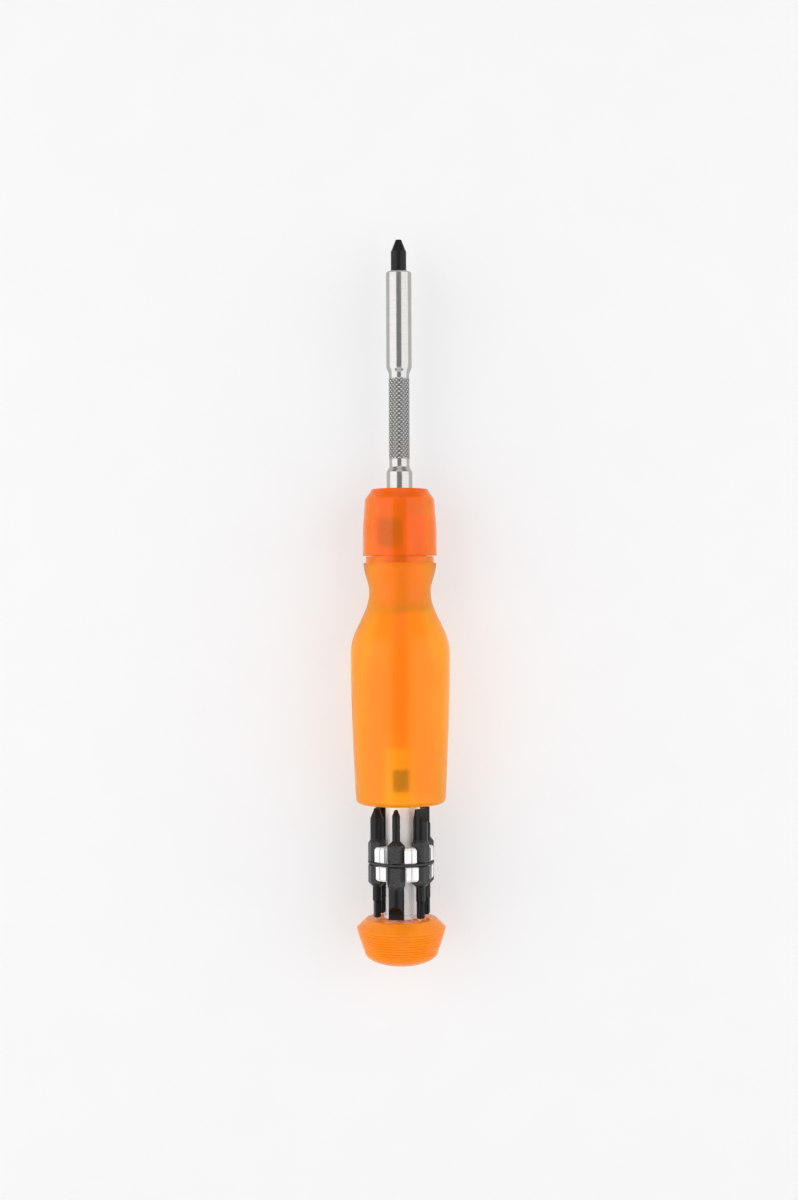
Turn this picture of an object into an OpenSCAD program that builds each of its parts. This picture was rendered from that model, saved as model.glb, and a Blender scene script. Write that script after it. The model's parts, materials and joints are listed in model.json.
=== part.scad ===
// Ratcheting screwdriver with a pull-out bit cartridge, lying on a table with the cartridge out.
// Each piece is drawn along the tool axis, zero at the mouth of the grip and the point toward
// larger values. lay() then puts the axis along +Y and the table at Z = 0.

/* [Grip] */
// Length of the grip from its mouth to its neck end
grip_len = 98.4; // [94:0.1:112]
// Wall of the grip at the mouth
grip_wall = 3.8; // [3.4:0.1:6]
// How far the widest ring stands out beyond the mouth
grip_swell = 1.9; // [0.5:0.1:4]
// Distance of the widest ring from the mouth
grip_swell_at = 62; // [54:0.5:64]
// Wall of the grip at its neck
neck_wall = 2.25; // [1.8:0.05:3]
// Distance of the neck from the neck end
neck_back = 11.9; // [10:0.1:14]
// How far the neck end stands out beyond the housing flange
neck_lip = 0.95; // [0.3:0.05:1.5]
// Radius of the rounded mouth edge
mouth_round = 2.2; // [1:0.1:2.2]
// Room between the stored bits and the chamber wall
chamber_room = 0.9; // [0.6:0.05:1.2]
// Length of the tapered throat between the chamber and the rear plug
throat_len = 26.5; // [20:0.1:28]

/* [Shaft] */
// Diameter of the plain rear length
shaft_d = 10.6; // [9.6:0.1:11.4]
// Plain length that shows in front of the collar
rear_land = 6.7; // [4:0.1:12]
// Diameter over the knurl
waist_d = 8.6; // [7:0.1:9]
// Length of the curved step down to the waist
rear_taper = 2.8; // [1:0.1:4]
// Plain ring between the step and the knurl
waist_ring = 2.6; // [1:0.1:6]
// Length of the knurl
knurl_len = 33.6; // [20:0.1:45]
// How far the knurl stands out from the plain rings beside it
knurl_rise = 0.15; // [0.05:0.05:0.3]
// Length of the plain ring and the curved step up to the barrel
front_taper = 4.8; // [2:0.1:8]
// Diameter of the front barrel
barrel_d = 10.5; // [10:0.1:12]
// Length of the front barrel
barrel_len = 38.6; // [36:0.1:45]
// Diameter of the tail journal
tail_d = 6; // [5:0.1:6.4]
// Diameter of the seat under the ratchet gear
gear_seat_d = 8; // [7.4:0.1:8.4]

/* [Ratchet] */
// Teeth on the ratchet gear
gear_teeth = 28; // [24:4:32]
// How far the gear stands out beyond the shaft
gear_rim = 0.7; // [0.6:0.05:1.2]
// Depth of the teeth
tooth_depth = 0.7; // [0.6:0.05:0.8]
// Length of the gear
gear_len = 11.6; // [10:0.1:12]
// Pawl pin distance beyond the gear
pawl_out = 2.4; // [2.2:0.05:2.8]
// Diameter of the pawl pin
pawl_pin_d = 1.8; // [1.5:0.1:2]
// Swing of the pawl to each side
pawl_swing = 12; // [11:0.5:13]
// How deep an engaged nose enters the teeth
pawl_bite = 0.45; // [0.35:0.01:0.5]
// Distance of the detent ball from the rear of the collar
detent_up = 3.4; // [2.6:0.1:3.8]
// Turn of the selector to each side
selector_turn = 13; // [11:0.5:15]
// Place of the pawl round the axis, from straight up
pawl_angle = -22; // [-40:1:-10]
// Place of the detent round the axis, from straight up
detent_angle = 40; // [35:1:60]
// Diameter of the plunger ball and of the detent ball
ball_d = 2.2; // [2:0.05:2.4]
// Diameter of the housing spigot in the neck
spigot_d = 20.8; // [19:0.1:22]
// Length of the housing spigot in the neck
spigot_len = 18.4; // [16:0.1:19]
// Diameter of the housing flange
flange_d = 28; // [27:0.1:30]
// Thickness of the housing flange
flange_t = 2.5; // [1.5:0.1:4]
// Wall of the housing nose round the bushing
nose_wall = 1.7; // [1.4:0.05:2.2]
// Number of keys that stop the housing turning in the grip
keys = 6; // [3:1:8]
// Thickness of the flange on the rear plug
plug_flange_t = 1.5; // [1:0.1:3]
// Length of the rear plug inside the housing
plug_len = 10; // [8:0.1:12]

/* [Selector collar] */
// Length of the collar
collar_len = 27.3; // [26.6:0.1:30]
// Length of the straight rear part of the collar
collar_straight = 11.5; // [8:0.1:16]
// Wall of the collar round the housing
collar_wall = 4.1; // [3.6:0.05:5]
// Radius lost along the tapered front half
collar_draw = 0.9; // [0.3:0.1:1.4]
// Width of the front face outside the nose ring
collar_face = 1.1; // [0.8:0.1:2]
// Length of the front chamfer
collar_chamfer = 4; // [2:0.1:4.5]
// Outside diameter of the nose ring
nose_ring_d = 21.1; // [20.4:0.1:22]
// Thickness of the nose ring
nose_ring_t = 2.2; // [1.5:0.1:2.6]
// Thickness of the web that the collar turns on
web_t = 2; // [1.6:0.1:2.6]

/* [Bits] */
// Width across the flats of the bits
hex_af = 6.35; // [6:0.01:6.6]
// Length of a double-ended bit
bit_len = 44.45; // [42:0.05:47]
// Length of the hexagon in the middle of a bit
hex_len = 19.4; // [16.5:0.1:21]
// Shortest bevel from the hexagon down to a shank
hex_bevel = 1.8; // [0.8:0.1:2.4]
// Length of the installed bit that shows beyond the barrel
bit_show = 13.1; // [11:0.1:14]
// Room round the bits in their slots and socket
bit_room = 0.1; // [0.05:0.01:0.2]
// Length of a square, hexagon or star point
point_len = 7; // [4:0.1:10]
// Bevel at the foot of such a point
point_foot = 0.5; // [0.2:0.1:1]
// Shank of the large cross point
cross_d = 5.4; // [4:0.1:6.3]
// Shank of the small cross point
small_cross_d = 3.2; // [2.5:0.1:4]
// Shank of the large square point
square_d = 4.6; // [3.6:0.1:6]
// Shank of the small square point
small_square_d = 3.6; // [2.8:0.1:4.6]
// Width of the second blade
blade_d = 5.9; // [4:0.1:6.3]
// Width of the hidden blade of the installed bit
small_blade_d = 4.5; // [3:0.1:6.3]
// Shank of the largest star point
star_d = 5.6; // [4.5:0.1:6.3]
// Step in shank between one star point and the next smaller one
star_step = 0.62; // [0.3:0.02:0.8]
// Shank of the large hexagon point
hexagon_d = 5; // [4:0.1:6.3]
// Shank of the small hexagon point
small_hexagon_d = 4; // [3:0.1:5]

/* [Cartridge] */
// Diameter of the circle of stored bits
bit_circle_d = 20.8; // [20.4:0.1:22]
// Angle of the first bit from straight up
first_bit_at = -71; // [-90:1:-50]
// Diameter of the stem
stem_d = 12.6; // [11:0.1:13]
// Room that the stem keeps in front when the cartridge is in
stem_room = 7; // [4:0.1:12]
// Length of the narrow neck bore that catches the stop
stem_neck = 7.9; // [4:0.1:12]
// Length of the slotted clip ring
clip_len = 13.5; // [11:0.1:15]
// Depth of the clip ring under the bit flats
clip_sink = 0.3; // [0.1:0.05:0.6]
// Width of the slit between two clip fingers
clip_slit = 0.6; // [0.3:0.05:1]
// How far the clip fingers stand back from one side of a bit
claw_back = 0.8; // [0.2:0.1:1.2]
// Thickness of the retaining band
band_d = 1.3; // [1:0.05:1.5]
// Radius of the bit waist under the band
bit_waist = 1.8; // [1.5:0.05:2]
// Gap from the grip mouth to the bits with the cartridge out
bit_gap = 1.6; // [1:0.1:3]
// Gap from the bits to the end cap
cap_gap = 0.9; // [0.6:0.1:2]

/* [Guide rod] */
// Diameter of the rod
rod_d = 5.4; // [4.4:0.1:6]
// Depth of the rod in the rear plug
rod_seat = 4; // [3:0.1:5]
// Largest diameter of the stop
stop_d = 7.2; // [7:0.1:7.8]
// Length of the stop
stop_len = 9.2; // [7:0.1:10]
// Length of the full-width part of the stop
stop_land = 4.1; // [2:0.1:6]
// Room round the stop in the stem
stop_room = 0.3; // [0.2:0.05:0.5]
// Width of the window in the stem that shows the stop
window_w = 6.4; // [4:0.1:7]

/* [End cap] */
// Length of the cap
cap_len = 19.3; // [18:0.1:24]
// How far the cap rim lies inside the grip mouth line
cap_inset = 0.2; // [0:0.05:1]
// Length of the cone that seats in the mouth
cap_cone = 3.7; // [3:0.1:4.5]
// Radius lost along the ridged side
cap_draw = 3.1; // [2:0.1:4]
// Length of the ridged side
cap_side = 9.8; // [8:0.1:10.5]
// Ridges round the side
cap_ridges = 7; // [4:1:9]
// Depth of the ridges
cap_ridge = 0.12; // [0.05:0.01:0.25]
// Diameter of the axle stud
stud_d = 6.4; // [5.6:0.1:7]
// Length of the axle stud in the cap
stud_len = 10; // [8.5:0.1:11]
// Depth of the axle in the stem
axle_seat = 8; // [6:0.1:9]

/* [Clearances] */
// Radial room of a turning or sliding fit
run_room = 0.06; // [0.03:0.01:0.1]
// Radial room of a fixed seat
seat_room = 0.03; // [0.01:0.01:0.05]
// Gap between pieces that pass each other
gap = 0.3; // [0.2:0.05:0.4]

/* [Hidden] */
$fn = 64;
steps = 12;
past = 1;

// Stored bits and the chamber round them
bit_r = bit_circle_d / 2;
bits = 6;
hex_corner = hex_af / 2 / cos(30);
stored_r = norm([bit_r + hex_af / 2, hex_corner / 2]);
chamber_r = stored_r + chamber_room;
mouth_r = chamber_r + grip_wall;
bit_mid = -(bit_gap + bit_len / 2);
cap_face_at = -(bit_gap + bit_len + cap_gap);

// End cap and the way the cartridge slides in
cap_r = mouth_r - cap_inset;
cap_room = 0.25;
cap_face_r = chamber_r - cap_room;
cone_slope = (cap_r - cap_face_r) / cap_cone;
lip_r = mouth_r - mouth_round;
travel = (lip_r - cap_face_r) / cone_slope - cap_face_at - gap;
cap_end_at = cap_face_at - cap_len;

// Housing and rear plug
housing_at = grip_len - spigot_len;
plug_at = housing_at - plug_flange_t;
chamber_len = plug_at - throat_len;
spigot_r = spigot_d / 2;
plug_ledge = 1.4;
throat_r = spigot_r - plug_ledge;
gear_r = shaft_d / 2 + gear_rim;
gear_bore_r = gear_r + gap;
pin_at = gear_r + pawl_out;
pawl_back = pin_at + pawl_pin_d / 2 + gap;
ball_at = pawl_back + gap / 3 + ball_d / 2;
housing_r = ball_at + gap / 2;
flange_end = grip_len + flange_t;
collar_at = flange_end + gap;
collar_end = collar_at + collar_len;

// Row of pieces on the shaft behind the collar front
clip_t = 0.8;
clip_depth = 0.7;
washer_t = 0.5;
nose_room = 1.8;
ring_rim = 1.4;
ring_ledge = 0.5;
nose_ring_at = collar_end - nose_ring_t;
nose_end = nose_ring_at - nose_room;
nose_lip = 0.8;
bushing_len = 6.2;
bushing_at = nose_end - nose_lip - bushing_len;
washer_at = bushing_at - gap / 2 - washer_t;
gear_end = washer_at - gap / 2;
gear_at = gear_end - gear_len;
shaft_clip_at = gear_at - clip_t - gap / 2;
seat_at = shaft_clip_at - clip_t;
tail_at = housing_at + plug_len / 2;
bushing_r = gear_bore_r - seat_room;
nose_r = gear_bore_r + nose_wall;
shoulder_at = bushing_at + gap;
web_at = shoulder_at + gap;
collar_ring_at = web_at + web_t + gap;
collar_ring_r = nose_r + ring_rim;
collar_bore_r = housing_r + run_room;
collar_r = collar_bore_r + collar_wall;
recess_r = nose_ring_d / 2 - ring_ledge;

// Front of the tool
waist_at = collar_end + rear_land + rear_taper;
knurl_at = waist_at + waist_ring;
barrel_at = knurl_at + knurl_len + front_taper;
barrel_end = barrel_at + barrel_len;
point_at = barrel_end + bit_show;
installed_mid = point_at - bit_len / 2;
socket_r = (hex_af / 2 + bit_room) / cos(30);
socket_floor = installed_mid - hex_len / 2;
bit_end = point_at - bit_len;
magnet_t = 3.5;
clip_wire = 0.7;
bit_clip_r = socket_r + gap / 2 + clip_wire / 2;

// Guide rod and cartridge stem
stem_top = plug_at - stem_room - travel;
stop_top = stem_top - stem_neck - gap;
stop_at = stop_top - stop_len;
foot_gap = 0.4;
stem_end = cap_face_at + foot_gap;
stem_bore_r = stop_d / 2 + stop_room;
axle_wall = 0.95;
axle_r = stem_bore_r + axle_wall;
band_r = bit_r + bit_waist + bit_room + band_d / 2;
clip_r = bit_r + hex_af / 2 - clip_sink;
groove_w = band_d + 2 * gap;

// Ratchet mesh
tooth = 360 / gear_teeth;
tooth_land = 0.3;
nose_tooth = 2;
nose_half = 25;
nose_flank = 1.25;
pawl_brow = 0.5;
pawl_cheek = 1;
pawl_belly = 0.7;
pocket_side = 1.6;
pin_seat = 3;
pin_tip = 0.6;
detent_wall = 1.1;
spring_wall = 0.7;
coil_wire = 0.35;
coil_pitch = 0.8;

// Rest on the table and middle of the length
axis_z = mouth_r + grip_swell;
mid_s = (point_at + cap_end_at) / 2;

orange = [0.98, 0.55, 0.14];
deep_orange = [0.97, 0.4, 0.14];
steel = [0.75, 0.74, 0.72];
black = [0.13, 0.13, 0.14];
white = [0.95, 0.94, 0.93];
bronze = [0.7, 0.5, 0.25];

function ease(a, b, t) = a + (b - a) * (1 - cos(180 * t)) / 2;
function rise(a, b, t) = a + (b - a) * sin(90 * t);
function polar(r, a) = [r * cos(a), r * sin(a)];
function turn(p, a) = [p.x * cos(a) - p.y * sin(a), p.x * sin(a) + p.y * cos(a)];

// Puts a piece drawn along the tool axis into its place on the table
module lay() {
    translate([0, -mid_s, axis_z]) rotate([-90, 0, 0]) children();
}

// Turns +x to a direction round the tool axis, measured from straight up toward +X
module at_angle(a) {
    rotate([0, 0, a - 90]) children();
}

module ring(r_in, r_out, at, length) {
    translate([0, 0, at]) difference() {
        cylinder(r = r_out, h = length);
        translate([0, 0, -past]) cylinder(r = r_in, h = length + 2 * past);
    }
}

module rod(r, from, to) {
    translate([0, 0, from]) cylinder(r = r, h = to - from);
}

// Round coil along +z from zero, one unbroken wire
module coil(r, length) {
    turns = floor((length - coil_wire) / coil_pitch * 8) / 8;
    rings = turns * 8;
    sides = 6;
    points = [for (i = [0:rings], k = [0:sides - 1])
        let (a = i * 45, b = k * 360 / sides, w = coil_wire / 2)
        [(r + w * cos(b)) * cos(a), (r + w * cos(b)) * sin(a),
            w + coil_pitch * i / 8 + w * sin(b)]];
    walls = [for (i = [0:rings - 1], k = [0:sides - 1])
        let (n = (k + 1) % sides, p = i * sides, q = p + sides)
        each [[p + k, q + k, q + n], [p + k, q + n, p + n]]];
    ends = [for (k = [1:sides - 2])
        each [[0, k, k + 1], [rings * sides, rings * sides + k + 1, rings * sides + k]]];
    polyhedron(points = points, faces = concat(walls, ends), convexity = 4);
}

// Outline of the grip from the mouth to the neck end
function grip_outline() = concat(
    [for (i = [0:steps]) [lip_r + mouth_round * sin(90 * i / steps), mouth_round * (1 - cos(90 * i / steps))]],
    [for (i = [1:steps]) let (t = i / steps)
        [rise(mouth_r, mouth_r + grip_swell, t), mouth_round + (grip_swell_at - mouth_round) * t]],
    [for (i = [1:2 * steps]) let (t = i / steps / 2)
        [ease(mouth_r + grip_swell, spigot_r + neck_wall, t),
            grip_swell_at + (grip_len - neck_back - grip_swell_at) * t]],
    [for (i = [1:steps]) let (t = i / steps)
        [ease(spigot_r + neck_wall, flange_d / 2 + neck_lip, t), grip_len - neck_back * (1 - t)]]);

// Keys between the housing and the grip, with room added all round for their slots
module key_bars(room) {
    key_w = 1.2;
    key_h = 0.8;
    key_len = 10;
    for (i = [0:keys - 1])
        rotate([0, 0, i * 360 / keys])
            translate([spigot_r - past, -key_w / 2 - room, grip_len - key_len - room])
                cube([past + key_h + room, key_w + 2 * room, key_len + past]);
}

module handle_body() {
    color(orange) lay() difference() {
        rotate_extrude() polygon(concat(grip_outline(), [
            [spigot_r + seat_room, grip_len],
            [spigot_r + seat_room, plug_at],
            [throat_r, plug_at],
            [chamber_r, chamber_len],
            [chamber_r, (lip_r - chamber_r) / cone_slope]]));
        key_bars(seat_room);
    }
}

// Room in the housing for the pawl and for the ball that tips it
module pawl_pocket() {
    pocket_w = 2 * (pin_at * sin(tooth * nose_tooth) + pocket_side);
    at_angle(pawl_angle)
        translate([0, -pocket_w / 2, gear_at - gap])
            cube([housing_r + past, pocket_w, gear_len]);
}

// Axis of the detent hole, along +x from the tool axis
module at_detent() {
    translate([0, 0, collar_at + detent_up]) at_angle(detent_angle) children();
}

module detent_hole() {
    at_detent() translate([gear_bore_r + detent_wall, 0, 0]) rotate([0, 90, 0])
        cylinder(r = ball_d / 2 + run_room, h = housing_r);
}

module ratchet_housing() {
    color(deep_orange) lay() difference() {
        union() {
            rotate_extrude() polygon([
                [gear_bore_r, housing_at],
                [spigot_r, housing_at],
                [spigot_r, grip_len],
                [flange_d / 2, grip_len],
                [flange_d / 2, flange_end],
                [housing_r, flange_end],
                [housing_r, shoulder_at],
                [nose_r, shoulder_at],
                [nose_r, nose_end],
                [shaft_d / 2 + gap, nose_end],
                [shaft_d / 2 + gap, nose_end - nose_lip],
                [gear_bore_r, nose_end - nose_lip]]);
            intersection() {
                key_bars(0);
                rod(flange_d / 2, housing_at, grip_len);
            }
        }
        rod(gear_bore_r, housing_at - past, nose_end - nose_lip);
        ring(nose_r - clip_depth, nose_r + past, collar_ring_at - seat_room, clip_t + 2 * seat_room);
        pawl_pocket();
        detent_hole();
        at_angle(pawl_angle) translate([pin_at, 0, 0])
            rod(pawl_pin_d / 2 + seat_room, gear_at - pin_seat, gear_end + pin_tip);
    }
}

module rear_plug() {
    color(steel) lay() difference() {
        union() {
            rod(spigot_r, plug_at, housing_at);
            rod(bushing_r, housing_at, housing_at + plug_len);
        }
        rod(tail_d / 2 + run_room, tail_at - gap, housing_at + plug_len + past);
        rod(rod_d / 2 + seat_room, plug_at - past, plug_at + rod_seat);
    }
}

module pawl_pin() {
    color(steel) lay() at_angle(pawl_angle) translate([pin_at, 0, 0])
        rod(pawl_pin_d / 2, gear_at - pin_seat + gap / 3, gear_end + pin_tip - gap / 3);
}

module detent_ball() {
    color(steel) lay() at_detent() translate([ball_at, 0, 0]) sphere(d = ball_d);
}

module detent_spring() {
    floor_r = gear_bore_r + detent_wall + gap / 3;
    color(steel) lay() at_detent() translate([floor_r, 0, 0]) rotate([0, 90, 0])
        coil(ball_d / 2 - coil_wire, ball_at - ball_d / 2 - floor_r);
}

module front_bushing() {
    color(bronze) lay() ring(shaft_d / 2 + run_room, bushing_r, bushing_at, bushing_len);
}

module thrust_washer() {
    color(steel) lay() ring(shaft_d / 2 + run_room, bushing_r, washer_at, washer_t);
}

module collar_ring() {
    color(steel) lay() ring(nose_r - clip_depth + seat_room, collar_ring_r, collar_ring_at, clip_t);
}

module guide_rod() {
    color(deep_orange) lay() rod(rod_d / 2, stop_at, plug_at + rod_seat);
}

module rod_stop() {
    stop_draw = 0.4;
    color(black) lay() rotate_extrude() polygon([
        [rod_d / 2 + seat_room, stop_at],
        [stop_d / 2 - stop_draw, stop_at],
        [stop_d / 2, stop_top - stop_land],
        [stop_d / 2, stop_top],
        [rod_d / 2 + seat_room, stop_top]]);
}

// Track and three notches for the detent ball inside the collar
module detent_track() {
    track_r = ball_d / 2 + run_room;
    notch_r = track_r + gap / 2;
    sector_r = 2 * ball_at;
    at_detent() {
        intersection() {
            rotate_extrude() translate([ball_at, 0]) circle(r = track_r);
            translate([0, 0, -track_r - past]) linear_extrude(2 * (track_r + past))
                polygon([[0, 0], for (i = [-1:1]) polar(sector_r, i * selector_turn)]);
        }
        for (i = [-1:1]) rotate([0, 0, i * selector_turn])
            translate([ball_at, 0, -detent_up - past]) cylinder(r = notch_r, h = 2 * detent_up + past);
    }
}

// Axis of the plunger hole, along +x from the tool axis
module at_plunger() {
    translate([0, 0, gear_at + gear_len / 2]) at_angle(pawl_angle) children();
}

module selector_collar() {
    chamfer_at = collar_end - collar_chamfer;
    edge_len = 1;
    edge_draw = 0.4;
    color(deep_orange) lay() difference() {
        rotate_extrude() polygon([
            [collar_bore_r, collar_at],
            [collar_r, collar_at],
            [collar_r, collar_at + collar_straight],
            [collar_r - collar_draw, chamfer_at],
            [nose_ring_d / 2 + collar_face + edge_draw, collar_end - edge_len],
            [nose_ring_d / 2 + collar_face, collar_end],
            [nose_ring_d / 2 + seat_room, collar_end],
            [nose_ring_d / 2 + seat_room, nose_ring_at],
            [recess_r, nose_ring_at],
            [recess_r, web_at + web_t],
            [nose_r + run_room, web_at + web_t],
            [nose_r + run_room, web_at],
            [collar_bore_r, web_at]]);
        detent_track();
        at_plunger() translate([ball_at, 0, 0]) rotate([0, 90, 0])
            cylinder(r = ball_d / 2 + run_room, h = collar_r - spring_wall - ball_at);
    }
}

module nose_ring() {
    color(deep_orange) lay() ring(shaft_d / 2 + gap, nose_ring_d / 2, nose_ring_at, nose_ring_t);
}

module plunger_ball() {
    color(steel) lay() at_plunger() translate([ball_at, 0, 0]) sphere(d = ball_d);
}

module plunger_spring() {
    from = ball_at + ball_d / 2 + gap / 3;
    color(steel) lay() at_plunger() translate([from, 0, 0]) rotate([0, 90, 0])
        coil(ball_d / 2 - coil_wire, collar_r - spring_wall - from);
}

// Half outline of the pawl in its middle place, from its back to its underside
function pawl_half() =
    let (pin = [pin_at, 0],
        bite = turn(polar(gear_r - pawl_bite, tooth * nose_tooth) - pin, -pawl_swing) + pin,
        axis = tooth * nose_tooth - pawl_swing,
        inner = bite + polar(nose_flank, axis - nose_half),
        outer = bite + polar(nose_flank, axis + nose_half))
    [[pawl_back, bite.y + pawl_brow],
        [pin_at, bite.y + pawl_cheek],
        outer,
        bite,
        inner,
        [gear_r + pawl_belly, 0]];

module rocker_pawl() {
    half = pawl_half();
    color(black) lay() at_angle(pawl_angle) difference() {
        translate([0, 0, gear_at]) linear_extrude(gear_len - 2 * gap)
            polygon(concat(half, [for (i = [len(half) - 2:-1:0]) [half[i].x, -half[i].y]]));
        translate([pin_at, 0, 0]) rod(pawl_pin_d / 2 + run_room, gear_at - past, gear_end + past);
    }
}

module driver_shaft() {
    shaft_r = shaft_d / 2;
    waist_r = waist_d / 2;
    ring_r = waist_r - knurl_rise;
    barrel_r = barrel_d / 2;
    knurl_end = knurl_at + knurl_len;
    front_ring = front_taper / 5;
    edge = 0.5;
    color(steel) lay() difference() {
        rotate_extrude() polygon([
            [0, tail_at],
            [tail_d / 2, tail_at],
            [tail_d / 2, seat_at],
            [gear_seat_d / 2, seat_at],
            [gear_seat_d / 2, gear_end],
            [shaft_r, gear_end],
            for (i = [0:steps]) let (t = i / steps)
                [ease(shaft_r, ring_r, t), waist_at - rear_taper * (1 - t)],
            [ring_r, knurl_at],
            [waist_r, knurl_at + knurl_rise],
            [waist_r, knurl_end - knurl_rise],
            [ring_r, knurl_end],
            for (i = [0:steps]) let (t = i / steps)
                [ease(ring_r, barrel_r, t), knurl_end + front_ring + (front_taper - front_ring) * t],
            [barrel_r, barrel_end - edge],
            [barrel_r - edge, barrel_end],
            [0, barrel_end]]);
        rotate([0, 0, 30]) translate([0, 0, socket_floor])
            cylinder(r = socket_r, h = barrel_end - socket_floor + past, $fn = 6);
        rod(hex_af / 2 + bit_room, bit_end - gap - magnet_t, barrel_end);
        ring(bit_waist, bit_clip_r + clip_wire / 2 + run_room, installed_mid - groove_w / 2, groove_w);
        ring(gear_seat_d / 2 - clip_depth, gear_seat_d, shaft_clip_at - seat_room, clip_t + 2 * seat_room);
    }
}

module ratchet_gear() {
    color(steel) lay() at_angle(pawl_angle) difference() {
        translate([0, 0, gear_at]) linear_extrude(gear_len) polygon([
            for (i = [0:gear_teeth - 1], p = [
                [gear_r - tooth_depth, 0],
                [gear_r, (1 - tooth_land) / 2],
                [gear_r, (1 + tooth_land) / 2]])
            polar(p.x, tooth * (i + p.y))]);
        rod(gear_seat_d / 2 + seat_room, gear_at - past, gear_end + past);
    }
}

module shaft_clip() {
    color(steel) lay() ring(gear_seat_d / 2 - clip_depth + seat_room, gear_r, shaft_clip_at, clip_t);
}

module socket_magnet() {
    color(steel) lay() rod(hex_af / 2 + bit_room - seat_room, bit_end - gap - magnet_t, bit_end - gap);
}

module bit_clip() {
    color(steel) lay() translate([0, 0, installed_mid]) rotate_extrude()
        translate([bit_clip_r, 0]) circle(d = clip_wire);
}

// Round shank with a bevelled end, along +z from zero
module shank(r, length, end_r, end_len) {
    rotate_extrude() polygon([[0, 0], [r, 0], [r, length - end_len], [end_r, length], [0, length]]);
}

// Cross point: four grooves that run out of a cone
module cross_point(d, length) {
    tip_r = 0.19 * d;
    flute_r = 0.09 * d;
    lean = 24;
    difference() {
        shank(d / 2, length, tip_r, 0.77 * d);
        for (i = [0:3]) rotate([0, 0, 90 * i + 45])
            translate([flute_r, 0, length + past]) rotate([0, 180 - lean, 0]) rotate([0, 0, 135])
                cube([d, d, 2 * d]);
    }
}

// Flat blade, ground hollow on both faces
module slot_point(d, length) {
    blade_t = 0.17 * d;
    grind_r = 1.1 * d;
    difference() {
        shank(d / 2, length, 0.97 * d / 2, 0.03 * d);
        for (side = [-1, 1]) translate([side * (blade_t / 2 + grind_r), 0, length]) rotate([90, 0, 0])
            cylinder(r = grind_r, h = 2 * d, center = true);
    }
}

// Prism point of square, hexagon or star form on a round shank
module prism_point(form, d, length) {
    shank(d / 2, length - point_len + point_foot, 0.35 * d, point_foot);
    intersection() {
        translate([0, 0, length - point_len]) linear_extrude(point_len) {
            if (form == "square") square(0.66 * d, center = true);
            if (form == "hexagon") circle(d = 0.9 * d, $fn = 6);
            if (form == "star") difference() {
                circle(d = 0.9 * d);
                for (i = [0:5]) rotate([0, 0, 60 * i + 30]) translate([0.47 * d, 0]) circle(d = 0.26 * d);
            }
        }
        shank(d, length, 0.36 * d, 0.8 * d);
    }
}

module point(form, d, length) {
    if (form == "cross") cross_point(d, length);
    else if (form == "slot") slot_point(d, length);
    else prism_point(form, d, length);
}

// Double-ended bit along z about its middle, one flat toward +x
module bit(top, top_d, low, low_d) {
    shank_len = (bit_len - hex_len) / 2;
    top_r = top_d / 2 - bit_room;
    low_r = low_d / 2 - bit_room;
    top_bevel = max(hex_bevel, hex_corner - top_r);
    low_bevel = max(hex_bevel, hex_corner - low_r);
    difference() {
        intersection() {
            rotate([0, 0, 30]) cylinder(r = hex_corner, h = hex_len, center = true, $fn = 6);
            rotate_extrude() polygon([[0, -hex_len / 2], [low_r, -hex_len / 2],
                [hex_corner, low_bevel - hex_len / 2], [hex_corner, hex_len / 2 - top_bevel],
                [top_r, hex_len / 2], [0, hex_len / 2]]);
        }
        ring(bit_waist, hex_af, -groove_w / 2, groove_w);
    }
    translate([0, 0, hex_len / 2 - gap]) point(top, top_d, shank_len + gap);
    mirror([0, 0, 1]) translate([0, 0, hex_len / 2 - gap]) point(low, low_d, shank_len + gap);
}

module stored_bit(i, top, top_d, low, low_d) {
    color(black) lay() at_angle(first_bit_at + (i - 1) * 360 / bits)
        translate([bit_r, 0, bit_mid]) bit(top, top_d, low, low_d);
}

module installed_bit() {
    color(black) lay() translate([0, 0, installed_mid]) bit("cross", hex_af, "slot", small_blade_d);
}

module cartridge_core() {
    foot_r = bit_r - hex_af / 2 - gap / 2;
    foot_t = 1.6;
    slot_w = 2 * (hex_corner + 2 * bit_room);
    slit_depth = 2;
    clip_bevel = 0.8;
    clip_from = bit_mid - clip_len / 2;
    clip_to = bit_mid + clip_len / 2;
    color(white) lay() difference() {
        union() {
            rod(stem_d / 2, stem_end, stem_top);
            rod(foot_r, stem_end, stem_end + foot_t);
            rotate_extrude() polygon([
                [0, clip_from],
                [clip_r - clip_bevel, clip_from],
                [clip_r, clip_from + clip_bevel],
                [clip_r, clip_to - clip_bevel],
                [clip_r - clip_bevel, clip_to],
                [0, clip_to]]);
        }
        rod(stem_bore_r, stem_end - past, stem_top - stem_neck);
        rod(rod_d / 2 + run_room, stem_top - stem_neck - past, stem_top + past);
        rod(axle_r + seat_room, stem_end - past, stem_end + axle_seat);
        translate([-window_w / 2, -stem_d, stop_at - gap]) cube([window_w, 2 * stem_d, stop_len]);
        ring(band_r - band_d / 2 - seat_room, 2 * bit_r, bit_mid - groove_w / 2, groove_w);
        for (i = [0:bits - 1]) at_angle(first_bit_at + i * 360 / bits)
            translate([bit_r, 0, bit_mid]) {
                rotate([0, 0, 30])
                    cylinder(r = hex_corner + bit_room, h = clip_len + past, center = true, $fn = 6);
                translate([-gap, -slot_w / 2 - claw_back, -gap]) cube([bit_r, slot_w + claw_back, clip_len]);
                translate([-gap, -slot_w / 2, gap - clip_len]) cube([bit_r, slot_w + claw_back, clip_len]);
            }
        for (i = [0:bits - 1]) at_angle(first_bit_at + (i + 0.5) * 360 / bits)
            translate([clip_r - slit_depth, -clip_slit / 2, bit_mid - clip_len])
                cube([bit_r, clip_slit, 2 * clip_len]);
    }
}

module bit_retaining_band() {
    color(black) lay() translate([0, 0, bit_mid]) rotate_extrude() translate([band_r, 0]) circle(d = band_d);
}

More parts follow.
